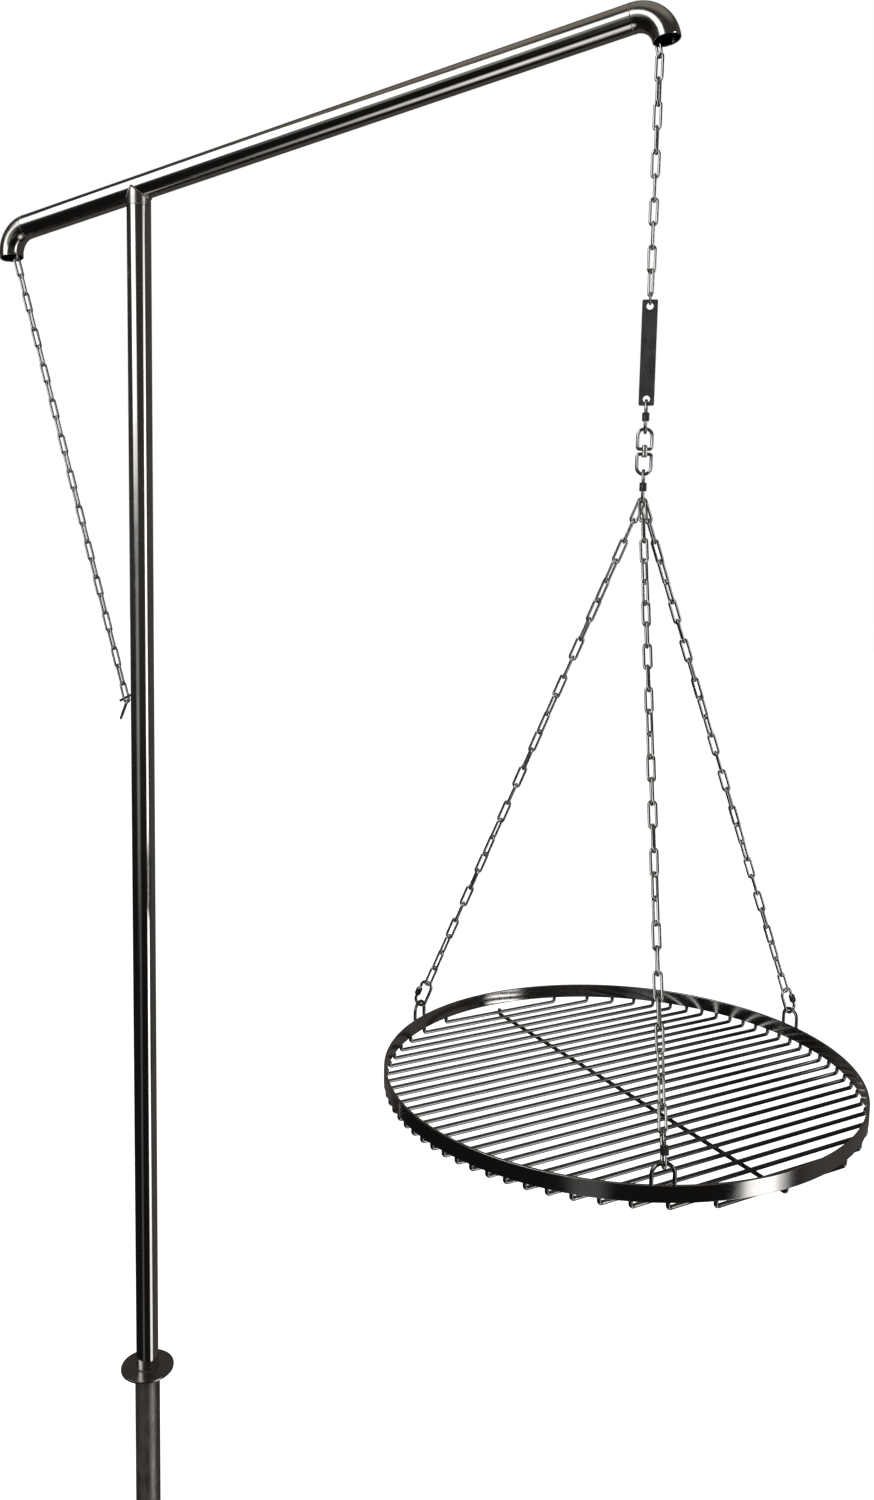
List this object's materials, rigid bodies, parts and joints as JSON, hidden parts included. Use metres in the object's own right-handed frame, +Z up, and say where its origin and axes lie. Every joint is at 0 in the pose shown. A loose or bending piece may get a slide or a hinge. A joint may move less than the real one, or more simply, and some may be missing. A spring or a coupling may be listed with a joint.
{
  "type": "swing grill gallows",
  "caption": "Swing grill gallows: a turning steel mast in a ground sleeve, a raised tube arm with a chain through it, and a round rod grate on a swivel and chains.",
  "frame": {"origin": "on the pole's axis at ground level, in the plane of the ground flange's underside, where the ground holds the sleeve", "axes": "+Z up along the pole, +X along the arm to its front, +Y to the left of someone who looks along +X"},
  "size_m": [1.5278, 0.7176, 2.5762],
  "materials": {
    "tube_steel": "fine ground and polished stainless steel, lengthwise reflections",
    "sleeve_steel": "dull dark mill finish",
    "chain_steel": "bright polished steel links",
    "link_steel": "bright polished stainless steel",
    "plate_steel": "dark satin, brushed lengthwise",
    "grate_steel": "polished stainless rods and band"
  },
  "bodies": {
    "ground": {"ground_sleeve": "sleeve_steel", "ground_flange": "tube_steel"},
    "mast": {"pole": "tube_steel", "stub_spigot": "tube_steel", "arm_stub": "tube_steel", "arm_tube": "tube_steel", "front_elbow": "tube_steel", "rear_elbow": "tube_steel", "chain_hook": "tube_steel", "arm_chain": "chain_steel", "tail_chain": "chain_steel"},
    "main_chain": {"main_chain": "chain_steel"},
    "plate": {"plate_ring": "chain_steel", "spacer_plate": "plate_steel"},
    "upper_link": {"upper_quick_link": "link_steel"},
    "upper_nut": {"upper_link_nut": "link_steel"},
    "swivel_top": {"swivel_upper_eye": "link_steel"},
    "swivel_low": {"swivel_lower_eye": "link_steel"},
    "lower_link": {"lower_quick_link": "link_steel"},
    "lower_nut": {"lower_link_nut": "link_steel"},
    "grate": {"leg_chain_front": "chain_steel", "leg_chain_right": "chain_steel", "leg_chain_left": "chain_steel", "rim_link_front": "link_steel", "rim_link_right": "link_steel", "rim_link_left": "link_steel", "rim_bow_front": "grate_steel", "rim_bow_right": "grate_steel", "rim_bow_left": "grate_steel", "grate_rim": "grate_steel", "cross_bar": "grate_steel", "grate_rod_01": "grate_steel", "grate_rod_02": "grate_steel", "grate_rod_03": "grate_steel", "grate_rod_04": "grate_steel", "grate_rod_05": "grate_steel", "grate_rod_06": "grate_steel", "grate_rod_07": "grate_steel", "grate_rod_08": "grate_steel", "grate_rod_09": "grate_steel", "grate_rod_10": "grate_steel", "grate_rod_11": "grate_steel", "grate_rod_12": "grate_steel", "grate_rod_13": "grate_steel", "grate_rod_14": "grate_steel", "grate_rod_15": "grate_steel", "grate_rod_16": "grate_steel", "grate_rod_17": "grate_steel", "grate_rod_18": "grate_steel", "grate_rod_19": "grate_steel", "grate_rod_20": "grate_steel", "grate_rod_21": "grate_steel", "grate_rod_22": "grate_steel", "grate_rod_23": "grate_steel", "grate_rod_24": "grate_steel", "grate_rod_25": "grate_steel", "grate_rod_26": "grate_steel", "grate_rod_27": "grate_steel", "grate_rod_28": "grate_steel", "grate_rod_29": "grate_steel"}
  },
  "joints": [
    {"name": "mast_turn", "type": "hinge", "parent": "ground", "child": "mast", "pos_m": [0, 0, 0], "axis": [0, 0, 1], "continuous": true},
    {"name": "main_chain_swing", "type": "hinge", "parent": "mast", "child": "main_chain", "pos_m": [0.8753, 0, 2.202], "axis": [0, 1, 0], "range_deg": [-12, 12]},
    {"name": "plate_swing", "type": "hinge", "parent": "main_chain", "child": "plate", "pos_m": [0.8753, 0, 1.882], "axis": [1, 0, 0], "range_deg": [-12, 12]},
    {"name": "upper_link_swing", "type": "hinge", "parent": "plate", "child": "upper_link", "pos_m": [0.8753, 0, 1.7327], "axis": [0.2419, -0.9703, 0], "range_deg": [-8, 8]},
    {"name": "swivel_tilt", "type": "hinge", "parent": "upper_link", "child": "swivel_top", "pos_m": [0.8753, 0, 1.6937], "axis": [0.9703, 0.2419, 0], "range_deg": [-8, 8]},
    {"name": "swivel_spin", "type": "hinge", "parent": "swivel_top", "child": "swivel_low", "pos_m": [0.8753, 0, 1.6642], "axis": [0, 0, 1], "continuous": true},
    {"name": "lower_link_swing", "type": "hinge", "parent": "swivel_low", "child": "lower_link", "pos_m": [0.8753, 0, 1.6347], "axis": [0.2419, -0.9703, 0], "range_deg": [-6, 6]},
    {"name": "grate_tilt", "type": "hinge", "parent": "lower_link", "child": "grate", "pos_m": [0.8753, 0, 1.5957], "axis": [0.9703, 0.2419, 0], "range_deg": [-6, 6]},
    {"name": "upper_nut_travel", "type": "slide", "parent": "upper_link", "child": "upper_nut", "axis": [0, 0, 1], "range_m": [0, 0.0075]},
    {"name": "lower_nut_travel", "type": "slide", "parent": "lower_link", "child": "lower_nut", "axis": [0, 0, 1], "range_m": [0, 0.0075]}
  ]
}
